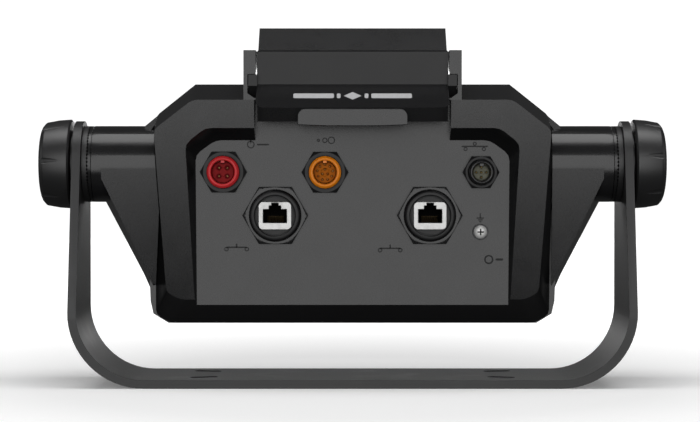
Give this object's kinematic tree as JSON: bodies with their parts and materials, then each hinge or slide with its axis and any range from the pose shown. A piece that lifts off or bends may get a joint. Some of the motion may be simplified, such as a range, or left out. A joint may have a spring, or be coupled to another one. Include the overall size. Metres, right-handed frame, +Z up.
{
  "type": "chartplotter docking cradle with bail mount",
  "caption": "Quick-release docking cradle for a chartplotter, with rear cable sockets and a sprung latch, tilting in a U-shaped bail mount.",
  "frame": {"origin": "centre of the underside of the bail's base", "axes": "+Z up, +Y towards the side on which the display docks, +X to the right of a person who faces the cable side"},
  "size_m": [0.3094, 0.0915, 0.1762],
  "materials": {
    "bail_coating": "fine textured charcoal powder coat",
    "case_moulding": "fine spark-eroded charcoal moulding",
    "dock_moulding": "satin black moulding",
    "knob_moulding": "satin charcoal moulding",
    "black_rubber": "matt moulded rubber",
    "bright_steel": "bright stainless steel",
    "insert_brass": "turned brass",
    "contact_gold": "gold-plated contacts",
    "jack_nickel": "satin nickel plate",
    "socket_red": "smooth red moulding",
    "socket_orange": "smooth orange moulding",
    "insulator_olive": "olive-black insulating moulding",
    "board_green": "solder-masked circuit board"
  },
  "bodies": {
    "bail": {"bail_bracket": "bail_coating", "bail_ratchet_left": "bail_coating", "bail_ratchet_right": "bail_coating"},
    "cradle": {"cradle_frame": "case_moulding", "rear_cover": "case_moulding", "dock_plate": "dock_moulding", "dock_shelf": "dock_moulding", "frame_seal": "black_rubber", "main_board": "board_green", "cradle_ratchet_left": "case_moulding", "cradle_ratchet_right": "case_moulding", "trunnion_insert_left": "insert_brass", "trunnion_insert_right": "insert_brass", "latch_hinge_pin": "bright_steel", "latch_spring_left": "bright_steel", "latch_spring_right": "bright_steel", "dock_connector": "dock_moulding", "dock_contacts": "contact_gold", "dock_seal": "black_rubber", "dock_bumper_left": "black_rubber", "dock_bumper_right": "black_rubber", "case_screw_1": "bright_steel", "case_screw_2": "bright_steel", "case_screw_3": "bright_steel", "case_screw_4": "bright_steel", "power_socket": "socket_red", "power_insulator": "socket_red", "sonar_socket": "socket_orange", "sonar_insulator": "socket_orange", "bus_socket": "dock_moulding", "bus_insulator": "insulator_olive", "ground_screw": "bright_steel", "ground_washer": "bright_steel", "power_contacts": "contact_gold", "power_nut": "dock_moulding", "power_gasket": "black_rubber", "sonar_contacts": "contact_gold", "sonar_nut": "dock_moulding", "sonar_gasket": "black_rubber", "bus_contacts": "contact_gold", "bus_nut": "dock_moulding", "bus_gasket": "black_rubber", "network_left_shell": "case_moulding", "network_left_jack": "jack_nickel", "network_left_contacts": "contact_gold", "network_left_nut": "dock_moulding", "network_right_shell": "case_moulding", "network_right_jack": "jack_nickel", "network_right_contacts": "contact_gold", "network_right_nut": "dock_moulding"},
    "left_washer": {"knob_washer_left": "knob_moulding"},
    "left_knob": {"knob_left": "knob_moulding", "knob_cap_left": "knob_moulding", "knob_stud_left": "bright_steel"},
    "right_washer": {"knob_washer_right": "knob_moulding"},
    "right_knob": {"knob_right": "knob_moulding", "knob_cap_right": "knob_moulding", "knob_stud_right": "bright_steel"},
    "latch": {"latch_arm": "case_moulding", "latch_finger_pad": "black_rubber"}
  },
  "joints": [
    {"name": "cradle_tilt", "type": "hinge", "parent": "bail", "child": "cradle", "pos_m": [0, 0.009, 0.1085], "axis": [1, 0, 0], "range_deg": [-10, 60]},
    {"name": "latch_press", "type": "hinge", "parent": "cradle", "child": "latch", "pos_m": [0, -0.015, 0.1462], "axis": [1, 0, 0], "range_deg": [0, 12], "stiffness_Nm_per_rad": 0.6, "springref_deg": -8.59},
    {"name": "left_knob_travel", "type": "slide", "parent": "cradle", "child": "left_washer", "axis": [-1, 0, 0], "range_m": [0, 0.00375]},
    {"name": "left_knob_turn", "type": "hinge", "parent": "left_washer", "child": "left_knob", "pos_m": [0, 0.009, 0.1085], "axis": [-1, 0, 0], "range_deg": [0, 1080]},
    {"name": "right_knob_travel", "type": "slide", "parent": "cradle", "child": "right_washer", "axis": [1, 0, 0], "range_m": [0, 0.00375]},
    {"name": "right_knob_turn", "type": "hinge", "parent": "right_washer", "child": "right_knob", "pos_m": [0, 0.009, 0.1085], "axis": [1, 0, 0], "range_deg": [0, 1080]}
  ],
  "couplings": [
    {"joint": "left_knob_turn", "follows": "left_knob_travel", "rad_per_m": 5026.5},
    {"joint": "right_knob_turn", "follows": "right_knob_travel", "rad_per_m": 5026.5}
  ]
}
